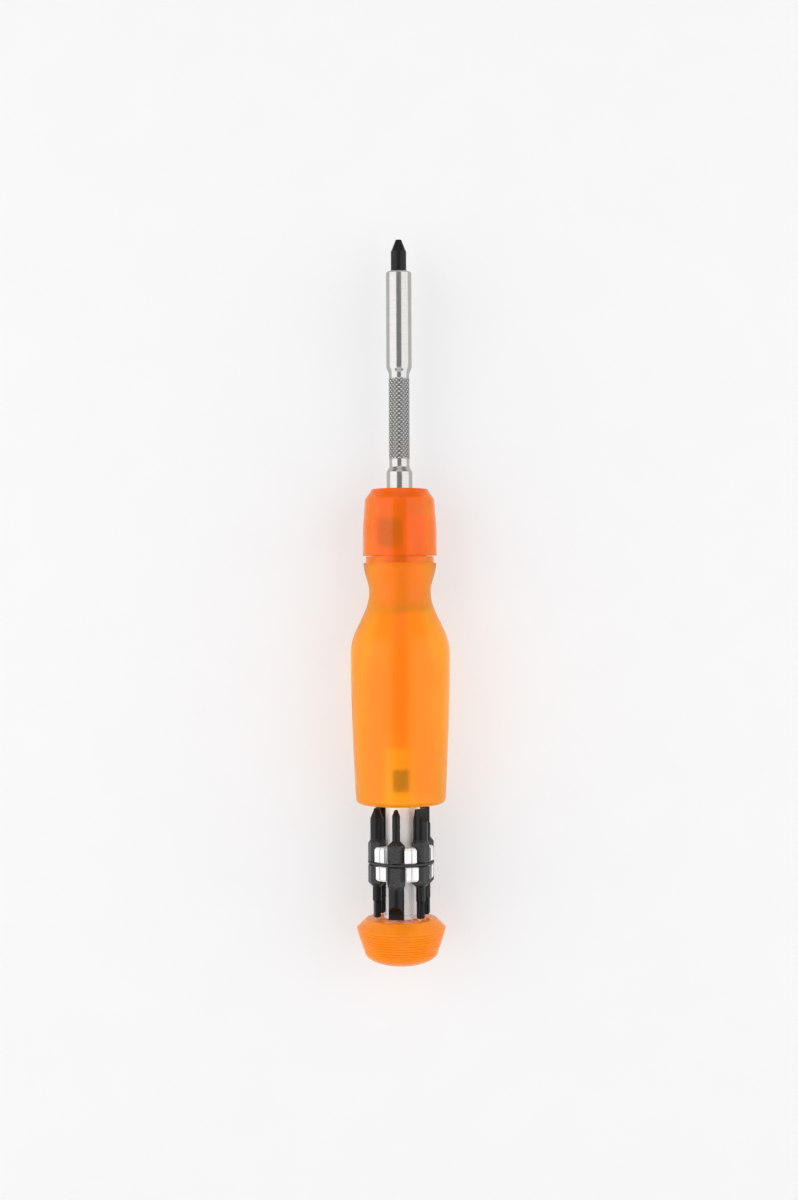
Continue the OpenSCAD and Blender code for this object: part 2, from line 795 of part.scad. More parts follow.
// Places of the washer and the snap ring under the stem
cap_washer_t = 0.6;
washer_rim = 2.8;
cap_washer_r = stud_d / 2 + washer_rim;
cap_washer_at = stem_end - gap / 3 - cap_washer_t;
stud_end = stem_end - stud_len;
snap_back = 2.4;
snap_at = stud_end + snap_back;
snap_depth = 0.7;
snap_out = 1;

module cap_axle() {
    floor_t = 1.4;
    color(steel) lay() difference() {
        union() {
            rod(axle_r, stem_end, stem_end + axle_seat);
            rod(stud_d / 2, stud_end, stem_end);
        }
        rod(stem_bore_r, stem_end + floor_t, stem_end + axle_seat + past);
        ring(stud_d / 2 - snap_depth, stud_d, snap_at - seat_room, clip_t + 2 * seat_room);
    }
}

module cap_washer() {
    color(steel) lay() ring(stud_d / 2 + run_room, cap_washer_r, cap_washer_at, cap_washer_t);
}

module cap_ring() {
    color(steel) lay() ring(stud_d / 2 - snap_depth + seat_room, stud_d / 2 + snap_out, snap_at, clip_t);
}

// Outline of the cap from its face to the end of its dome
function cap_outline() =
    let (side_at = cap_face_at - cap_cone,
        dome_at = side_at - cap_side,
        dome_r = cap_r - cap_draw,
        ridge_len = cap_side / cap_ridges)
    concat(
        [[0, cap_face_at], [cap_face_r, cap_face_at], [cap_r, side_at]],
        [for (i = [0:cap_ridges - 1]) let (t = (i + 1) / cap_ridges, r = cap_r - cap_draw * pow(t, 1.2))
            each [[r - cap_ridge, side_at - ridge_len * (i + 0.9)], [r, side_at - ridge_len * (i + 1)]]],
        [for (i = [1:steps]) let (a = 90 * i / steps)
            [dome_r * cos(a), dome_at + (cap_end_at - dome_at) * sin(a)]]);

module end_cap() {
    color(orange) lay() difference() {
        rotate_extrude() polygon(cap_outline());
        rod(stud_d / 2 + run_room, stud_end - gap, cap_face_at + past);
        rod(cap_washer_r + gap, cap_washer_at - gap / 3, cap_face_at + past);
        rod(stud_d / 2 + snap_out + gap, snap_at - gap, snap_at + clip_t + gap);
    }
}

module bit_1() {
    stored_bit(1, "cross", cross_d, "square", small_square_d);
}

module bit_2() {
    stored_bit(2, "cross", small_cross_d, "slot", hex_af);
}

module bit_3() {
    stored_bit(3, "slot", blade_d, "star", star_d - 3 * star_step);
}

module bit_4() {
    stored_bit(4, "square", square_d, "star", star_d - 2 * star_step);
}

module bit_5() {
    stored_bit(5, "hexagon", hexagon_d, "star", star_d - star_step);
}

module bit_6() {
    stored_bit(6, "star", star_d, "hexagon", small_hexagon_d);
}

handle_body();
ratchet_housing();
rear_plug();
pawl_pin();
detent_ball();
detent_spring();
front_bushing();
thrust_washer();
collar_ring();
guide_rod();
rod_stop();
selector_collar();
nose_ring();
plunger_ball();
plunger_spring();
rocker_pawl();
driver_shaft();
ratchet_gear();
shaft_clip();
socket_magnet();
bit_clip();
installed_bit();
cartridge_core();
bit_retaining_band();
cap_axle();
cap_washer();
cap_ring();
end_cap();
bit_1();
bit_2();
bit_3();
bit_4();
bit_5();
bit_6();
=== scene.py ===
import json
import math

import bmesh
import bpy
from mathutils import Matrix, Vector


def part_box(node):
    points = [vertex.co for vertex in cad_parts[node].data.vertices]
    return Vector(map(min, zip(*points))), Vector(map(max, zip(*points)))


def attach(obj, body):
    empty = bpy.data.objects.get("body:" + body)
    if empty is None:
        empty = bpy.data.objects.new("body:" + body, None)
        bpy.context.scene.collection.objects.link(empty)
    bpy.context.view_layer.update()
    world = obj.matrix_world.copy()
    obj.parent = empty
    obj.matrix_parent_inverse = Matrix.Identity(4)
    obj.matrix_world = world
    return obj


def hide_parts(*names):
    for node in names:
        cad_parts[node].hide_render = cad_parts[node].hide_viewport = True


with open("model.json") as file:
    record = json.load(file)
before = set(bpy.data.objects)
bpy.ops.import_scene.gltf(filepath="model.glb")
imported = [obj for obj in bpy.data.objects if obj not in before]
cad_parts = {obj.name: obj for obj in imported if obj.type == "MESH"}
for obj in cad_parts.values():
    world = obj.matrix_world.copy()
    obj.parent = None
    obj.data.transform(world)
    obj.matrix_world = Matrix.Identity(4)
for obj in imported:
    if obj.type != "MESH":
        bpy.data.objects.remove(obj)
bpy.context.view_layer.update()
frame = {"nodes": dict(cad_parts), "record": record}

# The tool lies along +Y. Stations are millimetres along its axis from the mouth of the grip,
# radii are millimetres from the axis, and angles are measured from straight up toward +X.
MM = 0.001
grip_low, grip_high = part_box("handle_body")
AXIS_Z = (grip_low[2] + grip_high[2]) / 2
MOUTH_Y = grip_low[1]
TINY = 1e-6
SEGMENTS = 162
SHARP = math.radians(38)
CORNER_TURN = math.radians(18)
CORNER_SHARE = 0.4
CORNER_STEPS = 3
EDGE_SOFT = 0.3
GAP = 0.3
SEAT_ROOM = 0.03
RUN_ROOM = 0.06


def span(node):
    """Start, end and radius of a round CAD node, in millimetres."""
    low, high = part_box(node)
    return (low[1] - MOUTH_Y) / MM, (high[1] - MOUTH_Y) / MM, (high[2] - low[2]) / 2 / MM


def place(radius, angle, station):
    """Point in the frame, in metres."""
    across, up = radius * math.sin(angle) * MM, radius * math.cos(angle) * MM
    return Vector((across, MOUTH_Y + station * MM, AXIS_Z + up))


def ease(a, b, t):
    """From a to b as t goes from zero to one, level at both ends."""
    return a + (b - a) * (1 - math.cos(math.pi * t)) / 2


def rise(a, b, t):
    """From a to b as t goes from zero to one, level at b alone."""
    return a + (b - a) * math.sin(math.pi / 2 * t)


def stretch(start, end, low, high, steps, curve):
    """Outline points from one station and radius to another along a curve, without the first."""
    return [(start + (end - start) * i / steps, curve(low, high, i / steps))
            for i in range(1, steps + 1)]


def soften(points, size):
    """Rounds each real corner of an outline with a small curve, and keeps its first and last point."""
    out = [points[0]]
    for before, here, after in zip(points, points[1:], points[2:]):
        p, q, r = Vector(before), Vector(here), Vector(after)
        a, b = p - q, r - q
        if min(a.length, b.length) < TINY or math.pi - a.angle(b) < CORNER_TURN:
            out.append(here)
            continue
        reach = min(size, CORNER_SHARE * a.length, CORNER_SHARE * b.length)
        p, r = q + a.normalized() * reach, q + b.normalized() * reach
        for i in range(CORNER_STEPS + 1):
            t = i / CORNER_STEPS
            out.append(tuple(p * (1 - t) ** 2 + q * 2 * t * (1 - t) + r * t ** 2))
    return out + [points[-1]]


def shade_by_angle(mesh):
    """Smooth faces with their normals outward, and sharp edges where two faces turn too far."""
    bm = bmesh.new()
    bm.from_mesh(mesh)
    bmesh.ops.recalc_face_normals(bm, faces=bm.faces)
    for face in bm.faces:
        face.smooth = True
    for edge in bm.edges:
        edge.smooth = len(edge.link_faces) == 2 and edge.calc_face_angle(0) < SHARP
    bm.to_mesh(mesh)
    bm.free()


def new_piece(name, points, faces):
    mesh = bpy.data.meshes.new(name)
    mesh.from_pydata([tuple(p) for p in points], [], faces)
    shade_by_angle(mesh)
    piece = bpy.data.objects.new(name, mesh)
    bpy.context.scene.collection.objects.link(piece)
    return piece


def lathe(name, outline):
    """Turns an outline of (station, radius) about the tool axis. A radius may be a function of the
    angle, and an outline that doesn't start and end on the axis is closed into a ring."""
    points, rings = [], []
    for station, radius in outline:
        turned = radius if callable(radius) else (lambda angle, r=radius: r)
        count = 1 if not callable(radius) and radius < TINY else SEGMENTS
        rings.append((len(points), count))
        for k in range(count):
            angle = 2 * math.pi * k / SEGMENTS
            points.append(place(turned(angle), angle, station))
    pairs = list(zip(rings, rings[1:]))
    if rings[0][1] > 1:
        pairs.append((rings[-1], rings[0]))
    faces = []
    for (a, count_a), (b, count_b) in pairs:
        for k in range(SEGMENTS):
            n = (k + 1) % SEGMENTS
            if count_a == 1:
                faces.append((a, b + n, b + k))
            elif count_b == 1:
                faces.append((a + k, a + n, b))
            else:
                faces.append((a + k, a + n, b + n, b + k))
    return new_piece(name, points, faces)


def dress(piece, body, material, node):
    """Puts a finished piece on its body, in place of the CAD node named."""
    piece.data.materials.clear()
    piece.data.materials.append(material)
    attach(piece, body)
    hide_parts(node)


# Materials
NOISE_LOW = 0.3
NOISE_HIGH = 0.7
CLOUD_LOW = 0.35
CLOUD_HIGH = 0.65
SHELL_IOR = 1.31
SHELL_LIGHT = 0.94
CORE_LIGHT = 0.75
BIT_HEX_LEN = 19.4
SHANK_FROM = -1.5
SHANK_TO = 0.5


def new_material(name, **sockets):
    material = bpy.data.materials.new(name)
    material.use_nodes = True
    shader = material.node_tree.nodes["Principled BSDF"]
    for key, value in sockets.items():
        shader.inputs[key.replace("_", " ")].default_value = value
    return material


def add_noise(material, scale, detail, squeeze=(1, 1, 1)):
    """Noise in the piece's own place, features of about 1 / scale metres."""
    nodes, links = material.node_tree.nodes, material.node_tree.links
    where = nodes.new("ShaderNodeTexCoord")
    mapping = nodes.new("ShaderNodeMapping")
    mapping.inputs["Scale"].default_value = squeeze
    noise = nodes.new("ShaderNodeTexNoise")
    noise.inputs["Scale"].default_value = scale
    noise.inputs["Detail"].default_value = detail
    links.new(where.outputs["Object"], mapping.inputs["Vector"])
    links.new(mapping.outputs["Vector"], noise.inputs["Vector"])
    return noise.outputs["Fac"]


def ramp_colour(material, source, *stops):
    """Colour that follows a noise from one (position, colour) stop to another."""
    nodes, links = material.node_tree.nodes, material.node_tree.links
    ramp = nodes.new("ShaderNodeValToRGB")
    elements = ramp.color_ramp.elements
    for element, (position, colour) in zip(elements, stops):
        element.position = position
        element.color = (*colour, 1)
    links.new(source, ramp.inputs["Fac"])
    links.new(ramp.outputs["Color"], nodes["Principled BSDF"].inputs["Base Color"])


def blend_colour(material, share, colour):
    """Takes the base colour over to another one as the share goes from zero to one."""
    nodes, links = material.node_tree.nodes, material.node_tree.links
    base = nodes["Principled BSDF"].inputs["Base Color"]
    mix = nodes.new("ShaderNodeMix")
    mix.data_type = "RGBA"
    links.new(share, mix.inputs["Factor"])
    links.new(base.links[0].from_socket, mix.inputs["A"])
    mix.inputs["B"].default_value = (*colour, 1)
    links.new(mix.outputs["Result"], base)


def vary_roughness(material, source, low, high):
    nodes, links = material.node_tree.nodes, material.node_tree.links
    spread = nodes.new("ShaderNodeMapRange")
    spread.inputs["From Min"].default_value = NOISE_LOW
    spread.inputs["From Max"].default_value = NOISE_HIGH
    spread.inputs["To Min"].default_value = low
    spread.inputs["To Max"].default_value = high
    links.new(source, spread.inputs["Value"])
    links.new(spread.outputs["Result"], nodes["Principled BSDF"].inputs["Roughness"])


def add_bump(material, source, strength, depth):
    nodes, links = material.node_tree.nodes, material.node_tree.links
    bump = nodes.new("ShaderNodeBump")
    bump.inputs["Strength"].default_value = strength
    bump.inputs["Distance"].default_value = depth
    links.new(source, bump.inputs["Height"])
    links.new(bump.outputs["Normal"], nodes["Principled BSDF"].inputs["Normal"])


def let_light_in(material, share):
    """Lets that share of the light of each lamp through a clear shell, onto what it holds."""
    nodes, links = material.node_tree.nodes, material.node_tree.links
    path = nodes.new("ShaderNodeLightPath")
    shadow = nodes.new("ShaderNodeMapRange")
    shadow.inputs["To Min"].default_value = 1
    shadow.inputs["To Max"].default_value = 1 - share
    links.new(path.outputs["Is Shadow Ray"], shadow.inputs["Value"])
    links.new(shadow.outputs["Result"], nodes["Principled BSDF"].inputs["Alpha"])


def tinted_plastic(name, light, dark, transmission, rough):
    """Satin see-through plastic, coloured all through."""
    material = new_material(name, IOR=SHELL_IOR, Transmission_Weight=transmission, Roughness=rough)
    let_light_in(material, SHELL_LIGHT)
    clouds = add_noise(material, scale=60, detail=2)
    ramp_colour(material, clouds, (CLOUD_LOW, dark), (CLOUD_HIGH, light))
    return material


def turned_steel(name, light, dark, rough):
    """Bright steel with fine marks round the axis from turning."""
    material = new_material(name, Metallic=1.0)
    marks = add_noise(material, scale=500, detail=5, squeeze=(0.25, 9, 0.25))
    ramp_colour(material, marks, (NOISE_LOW, dark), (NOISE_HIGH, light))
    wear = add_noise(material, scale=700, detail=4)
    vary_roughness(material, wear, low=rough - 0.05, high=rough + 0.06)
    add_bump(material, marks, strength=0.06, depth=0.02 * MM)
    return material


def paint_groove_shade(material, colour):
    """Paints shade into the grooves that a piece marks in a point attribute, darker where they lie deeper.
    """
    groove_shade = material.node_tree.nodes.new("ShaderNodeAttribute")
    groove_shade.attribute_name = "groove_shade"
    blend_colour(material, groove_shade.outputs["Fac"], colour)


def black_oxide(name, light, dark, rough):
    """Dark matte steel with a fine grain."""
    material = new_material(name, Metallic=0.55)
    ramp_colour(material, add_noise(material, scale=1800, detail=4), (CLOUD_LOW, dark), (NOISE_HIGH, light))
    wear = add_noise(material, scale=900, detail=4)
    vary_roughness(material, wear, low=rough - 0.07, high=rough + 0.07)
    add_bump(material, add_noise(material, scale=3500, detail=3), strength=0.18, depth=0.03 * MM)
    return material


def paint_shank_shade(material, node, colour):
    """Paints shade onto a bit beyond its hexagon, a darker colour standing in for the darker look of its
    smoother turned shanks.
    """
    nodes, links = material.node_tree.nodes, material.node_tree.links
    low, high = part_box(node)
    middle = (low[1] + high[1]) / 2
    where = nodes.new("ShaderNodeTexCoord")
    split = nodes.new("ShaderNodeSeparateXYZ")
    links.new(where.outputs["Object"], split.inputs["Vector"])
    off = nodes.new("ShaderNodeMath")
    off.operation = "SUBTRACT"
    off.inputs[1].default_value = middle
    links.new(split.outputs["Y"], off.inputs[0])
    far = nodes.new("ShaderNodeMath")
    far.operation = "ABSOLUTE"
    links.new(off.outputs["Value"], far.inputs[0])
    share = nodes.new("ShaderNodeMapRange")
    share.inputs["From Min"].default_value = (BIT_HEX_LEN / 2 + SHANK_FROM) * MM
    share.inputs["From Max"].default_value = (BIT_HEX_LEN / 2 + SHANK_TO) * MM
    links.new(far.outputs["Value"], share.inputs["Value"])
    blend_colour(material, share.outputs["Result"], colour)


def moulded_white(name):
    """Milky plastic that lets some light through."""
    material = new_material(name, IOR=1.5, Transmission_Weight=0.12, Roughness=0.38)
    let_light_in(material, CORE_LIGHT)
    ramp_colour(material, add_noise(material, scale=120, detail=3),
                (NOISE_LOW, (0.94, 0.935, 0.93)), (NOISE_HIGH, (0.97, 0.965, 0.96)))
    return material


def black_rubber(name):
    material = new_material(name, IOR=1.5)
    ramp_colour(material, add_noise(material, scale=900, detail=4),
                (NOISE_LOW, (0.012, 0.012, 0.013)), (NOISE_HIGH, (0.028, 0.028, 0.03)))
    vary_roughness(material, add_noise(material, scale=600, detail=3), low=0.48, high=0.62)
    add_bump(material, add_noise(material, scale=2500, detail=3), strength=0.2, depth=0.04 * MM)
    return material


GRIP = tinted_plastic(
    "grip_plastic", light=(0.995, 0.46, 0.004), dark=(0.995, 0.43, 0.003), transmission=0.76, rough=0.33)
CAP = tinted_plastic(
    "cap_plastic", light=(0.995, 0.34, 0.010), dark=(0.995, 0.31, 0.007), transmission=0.35, rough=0.25)
COLLAR = tinted_plastic(
    "collar_plastic", light=(0.995, 0.278, 0.006), dark=(0.995, 0.253, 0.004), transmission=0.68, rough=0.07)
BRIGHT = turned_steel("bright_steel", light=(0.48, 0.466, 0.453), dark=(0.42, 0.407, 0.395), rough=0.14)
# Painted shade: the knurl grooves of the bright steel turn near black, more so the deeper they lie.
paint_groove_shade(BRIGHT, (0.035, 0.029, 0.023))
INNER = turned_steel("inner_steel", light=(0.62, 0.60, 0.57), dark=(0.46, 0.45, 0.43), rough=0.3)
BRONZE = turned_steel("bushing_bronze", light=(0.72, 0.5, 0.24), dark=(0.56, 0.37, 0.16), rough=0.32)
OXIDE = black_oxide("black_oxide", light=(0.066, 0.0665, 0.068), dark=(0.022, 0.0225, 0.023), rough=0.36)
# Painted shade: the shanks of every bit beyond the hexagon turn near black.
paint_shank_shade(OXIDE, "bit_1", (0.006, 0.006, 0.0065))
STOP = black_oxide("dark_stop", light=(0.10, 0.03, 0.015), dark=(0.05, 0.015, 0.008), rough=0.5)
WHITE = moulded_white("core_white")
RUBBER = black_rubber("band_rubber")
SLOT_MATERIALS = {
    "grip_orange": GRIP, "collar_orange": COLLAR, "bright_steel": BRIGHT, "inner_steel": INNER,
    "bushing_bronze": BRONZE, "dark_stop": STOP, "bit_black": OXIDE, "core_white": WHITE,
    "band_rubber": RUBBER}


def dress_cad_nodes():
    """Gives every CAD node the finish of its slot in the record."""
    for part in frame["record"]["subparts"]:
        node = frame["nodes"][part["node"]]
        node.data.materials.clear()
        node.data.materials.append(SLOT_MATERIALS[part["material_slot"]])


# Grip
GRIP_LEN, GRIP_R = span("handle_body")[1:]
MOUTH_ROUND = 2.2
GRIP_SWELL = 1.9
SWELL_AT = 62
NECK_AT = 86.5
NECK_R = 12.65
NECK_END_R = 14.95
CHAMBER_R = 14.6
CHAMBER_END = 52
THROAT_R = 9
MOUTH_SEAT = 1.54
NECK_BORE_R = 10.43
KEY_SLOT_R = 11.26
KEY_SLOT_LEN = 10.1
KEY_TURN = math.radians(60)
KEY_HALF = math.radians(5.5)
KEY_STEP = 0.02
ARC_STEPS = 12
GRIP_SOFT = 0.35
NECK_EDGE = 0.25


def key_bore(angle):
    """Radius of the neck bore, deeper at the six slots for the keys of the housing."""
    off = angle % KEY_TURN - KEY_TURN / 2
    return KEY_SLOT_R if abs(off) < KEY_HALF else NECK_BORE_R


def build_grip():
    mouth_r = GRIP_R - GRIP_SWELL
    lip_r = mouth_r - MOUTH_ROUND
    arc = [math.pi / 2 * i / ARC_STEPS for i in range(ARC_STEPS + 1)]
    outer = [(MOUTH_ROUND * (1 - math.cos(a)), lip_r + MOUTH_ROUND * math.sin(a)) for a in arc]
    outer += stretch(MOUTH_ROUND, SWELL_AT, mouth_r, GRIP_R, steps=30, curve=rise)
    outer += stretch(SWELL_AT, NECK_AT, GRIP_R, NECK_R, steps=40, curve=ease)
    outer += stretch(NECK_AT, GRIP_LEN, NECK_R, NECK_END_R, steps=20, curve=ease)
    outer = soften(outer, GRIP_SOFT)[:-1]
    outer += [(GRIP_LEN - NECK_EDGE, NECK_END_R), (GRIP_LEN, NECK_END_R - NECK_EDGE)]
    plug_at = span("rear_plug")[0]
    slots_at = GRIP_LEN - KEY_SLOT_LEN
    inner = [
        (GRIP_LEN, key_bore), (slots_at, key_bore), (slots_at - KEY_STEP, NECK_BORE_R),
        (plug_at, NECK_BORE_R), (plug_at, THROAT_R), (CHAMBER_END, CHAMBER_R), (MOUTH_SEAT, CHAMBER_R)]
    dress(lathe("grip_shell", outer + inner), "handle", GRIP, "handle_body")


# Selector collar
COLLAR_BORE_R = 11.01
COLLAR_STRAIGHT = 11.5
COLLAR_DRAW = 0.9
COLLAR_CHAMFER = 4
COLLAR_FACE = 1.1
COLLAR_EDGE = 1
COLLAR_EDGE_DRAW = 0.4
COLLAR_LIP = 0.5
WEB_T = 2
WEB_BORE_R = 8.06
RECESS_R = 10.05
BALL_AT = 10.8
BALL_R = 1.1
DETENT_ANGLE = math.radians(40)
DETENT_UP = 3.4
SELECTOR_TURN = math.radians(13)
NOTCH_R = 1.31
PLUNGER_R = 1.16
SPRING_WALL = 0.7
CUT_PAST = 1
CUT_SIDES = 32
TRACK_STEPS = 8


def cylinder_cutter(start, end, radius):
    """Closed cylinder between two points of the frame, to cut with."""
    way = end - start
    turn = way.to_track_quat("Z", "Y").to_matrix()
    around = [2 * math.pi * k / CUT_SIDES for k in range(CUT_SIDES)]
    across = [turn @ Vector((math.cos(a), math.sin(a), 0)) * radius * MM for a in around]
    points = [start + p for p in across] + [end + p for p in across]
    faces = [tuple(range(CUT_SIDES)), tuple(range(CUT_SIDES, 2 * CUT_SIDES))]
    for k in range(CUT_SIDES):
        n = (k + 1) % CUT_SIDES
        faces.append((k, n, CUT_SIDES + n, CUT_SIDES + k))
    return new_piece("cutter", points, faces)


def carve(piece, cutters):
    """Cuts closed pieces out of a piece for good, and throws them away."""
    for cutter in cutters:
        cut = piece.modifiers.new("cut", "BOOLEAN")
        cut.operation = "DIFFERENCE"
        cut.solver = "EXACT"
        cut.object = cutter
    bpy.context.view_layer.update()
    graph = bpy.context.evaluated_depsgraph_get()
    carved = bpy.data.meshes.new_from_object(piece.evaluated_get(graph))
    piece.modifiers.clear()
    piece.data = carved
    shade_by_angle(carved)
    for cutter in cutters:
        bpy.data.objects.remove(cutter)


def build_collar():
    start, end, radius = span("selector_collar")
    ring_at, _, ring_r = span("nose_ring")
    web_at = span("front_bushing")[0] + 2 * GAP
    face_r = ring_r + COLLAR_FACE
    seat_r = ring_r + SEAT_ROOM
    outline = [
        (start, COLLAR_BORE_R + COLLAR_LIP), (start, radius), (start + COLLAR_STRAIGHT, radius),
        (end - COLLAR_CHAMFER, radius - COLLAR_DRAW), (end - COLLAR_EDGE, face_r + COLLAR_EDGE_DRAW),
        (end, face_r), (end, seat_r), (ring_at, seat_r), (ring_at, RECESS_R), (web_at + WEB_T, RECESS_R),
        (web_at + WEB_T, WEB_BORE_R), (web_at, WEB_BORE_R), (web_at, COLLAR_BORE_R),
        (start, COLLAR_BORE_R)]
    collar = lathe("collar_shell", soften(outline, EDGE_SOFT))
    cutters = []
    for i in (-1, 0, 1):
        angle = DETENT_ANGLE + i * SELECTOR_TURN
        cutters.append(cylinder_cutter(
            place(BALL_AT, angle, start - CUT_PAST), place(BALL_AT, angle, start + 2 * DETENT_UP), NOTCH_R))
    ball_low, ball_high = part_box("plunger_ball")
    ball = (Vector(ball_low) + Vector(ball_high)) / 2
    pawl_angle = math.atan2(ball.x, ball.z - AXIS_Z)
    ball_station = (ball.y - MOUTH_Y) / MM
    spring_end = place(radius - SPRING_WALL, pawl_angle, ball_station)
    cutters.append(cylinder_cutter(ball, spring_end, PLUNGER_R))
    track = [place(BALL_AT, DETENT_ANGLE + SELECTOR_TURN * i / TRACK_STEPS, start + DETENT_UP)
             for i in range(-TRACK_STEPS, TRACK_STEPS + 1)]
    cutters += [cylinder_cutter(a, b, BALL_R + RUN_ROOM) for a, b in zip(track, track[1:])]
    carve(collar, cutters)
    dress(collar, "selector", COLLAR, "selector_collar")


# Driver shaft
SHAFT_R = 5.3
WAIST_R = 4.3
RING_R = 4.15
BARREL_R = 5.25
TAIL_R = 3
GEAR_SEAT_R = 4
CLIP_GROOVE_R = 3.3
CLIP_LAND = 0.8
REAR_LAND = 6.7
REAR_TAPER = 2.8
WAIST_RING = 2.6
KNURL_LEN = 33.6
FRONT_TAPER = 4.8
FRONT_RING = 0.96
BARREL_EDGE = 0.5
KNURL_AROUND = 15
KNURL_PITCH = 0.9
KNURL_DEPTH = 0.35
KNURL_STEPS = 6
KNURL_FLAT = 0.8
HEX_HALF = 3.275
HEX_TURN = math.radians(60)
SOCKET_DEPTH = 18.8
SOCKET_FACE_R = 4.1
BIT_BORE_R = 3.26
MAGNET_ROOM = 0.02


def hexagon(angle):
    """Radius of the socket, with a corner straight up."""
    off = angle % HEX_TURN - HEX_TURN / 2
    return HEX_HALF / math.cos(off)


def saw(x):
    """Zero at whole numbers, one half way between them."""
    return 1 - abs(2 * (x % 1) - 1)


def knurl_height(angle, along):
    """Height of the diamonds, from zero in the grooves to one on their flats."""
    around = KNURL_AROUND * angle / (2 * math.pi)
    lift = min(saw(around + along / KNURL_PITCH / 2), saw(around - along / KNURL_PITCH / 2))
    return min(1.0, lift / KNURL_FLAT)


def knurled(along):
    """Radius round the knurl, which runs out into the plain ring at both ends."""
    fade = min(1.0, along / KNURL_PITCH, (KNURL_LEN - along) / KNURL_PITCH)
    crest = RING_R + (WAIST_R - RING_R) * fade
    return lambda angle: crest - KNURL_DEPTH * (1 - knurl_height(angle, along)) * fade


def mark_groove_shade(shaft, knurl_at):
    """Notes how deep each point of the knurl lies, as the share of painted shade in the steel's colour
    there.
    """
    groove_shade = shaft.data.attributes.new("groove_shade", "FLOAT", "POINT")
    for point, value in zip(shaft.data.vertices, groove_shade.data):
        along = (point.co.y - MOUTH_Y) / MM - knurl_at
        radius = math.hypot(point.co.x, point.co.z - AXIS_Z) / MM
        if 0 < along < KNURL_LEN:
            value.value = min(1.0, max(0.0, (WAIST_R - radius) / KNURL_DEPTH)) ** 2


def build_shaft():
    collar_end = span("selector_collar")[1]
    tail_at, barrel_end, _ = span("driver_shaft")
    gear_end = span("ratchet_gear")[1]
    clip_at, clip_end, _ = span("shaft_clip")
    magnet_at = span("socket_magnet")[0]
    bit_clip_at, bit_clip_end, bit_clip_r = span("bit_clip")
    waist_at = collar_end + REAR_LAND + REAR_TAPER
    knurl_at = waist_at + WAIST_RING
    knurl_end = knurl_at + KNURL_LEN
    barrel_at = knurl_end + FRONT_TAPER
    rear = [
        (tail_at, 0), (tail_at, TAIL_R), (clip_at - CLIP_LAND, TAIL_R), (clip_at - CLIP_LAND, GEAR_SEAT_R),
        (clip_at - SEAT_ROOM, GEAR_SEAT_R), (clip_at - SEAT_ROOM, CLIP_GROOVE_R),
        (clip_end + SEAT_ROOM, CLIP_GROOVE_R), (clip_end + SEAT_ROOM, GEAR_SEAT_R),
        (gear_end, GEAR_SEAT_R), (gear_end, SHAFT_R), (collar_end + REAR_LAND, SHAFT_R)]
    rear = soften(rear, EDGE_SOFT)
    rear += stretch(collar_end + REAR_LAND, waist_at, SHAFT_R, RING_R, steps=16, curve=ease)
    rear.append((knurl_at, RING_R))
    rows = round(KNURL_LEN / KNURL_PITCH * KNURL_STEPS)
    knurl = [(knurl_at + KNURL_LEN * i / rows, knurled(KNURL_LEN * i / rows))
             for i in range(1, rows)]
    front = [(knurl_end, RING_R), (knurl_end + FRONT_RING, RING_R)]
    front += stretch(knurl_end + FRONT_RING, barrel_at, RING_R, BARREL_R, steps=18, curve=ease)
    front += soften([
        (barrel_at + BARREL_EDGE, BARREL_R), (barrel_end - BARREL_EDGE, BARREL_R),
        (barrel_end, BARREL_R - BARREL_EDGE), (barrel_end, SOCKET_FACE_R)], EDGE_SOFT)
    groove_r = bit_clip_r + RUN_ROOM
    groove_from, groove_to = bit_clip_at - GAP, bit_clip_end + GAP
    floor_at = barrel_end - SOCKET_DEPTH
    bore_end = magnet_at - MAGNET_ROOM
    socket = [
        (barrel_end, hexagon), (groove_to, hexagon), (groove_to, groove_r), (groove_from, groove_r),
        (groove_from, hexagon), (floor_at, hexagon), (floor_at, BIT_BORE_R), (bore_end, BIT_BORE_R),
        (bore_end, 0)]
    shaft = lathe("steel_shaft", rear + knurl + front + socket)
    # Depth share for the painted shade in the knurl grooves.
    mark_groove_shade(shaft, knurl_at)
    dress(shaft, "shaft", BRIGHT, "driver_shaft")


# End cap
CAP_FACE_R = 14.35
CAP_CONE = 3.7
CAP_SIDE = 9.8
CAP_DRAW = 3.1
CAP_RIDGES = 9
CAP_RIDGE = 0.17
CAP_SOFT = 0.4
CAP_BOW = 1.2
RIDGE_TOP = 0.75
RIDGE_GROOVE = 0.88
RIDGE_RISE = 0.1
DOME_STEPS = 20
STUD_HOLE_R = 3.26
FACE_STEP_R = 9.9
FACE_STEP = 0.35


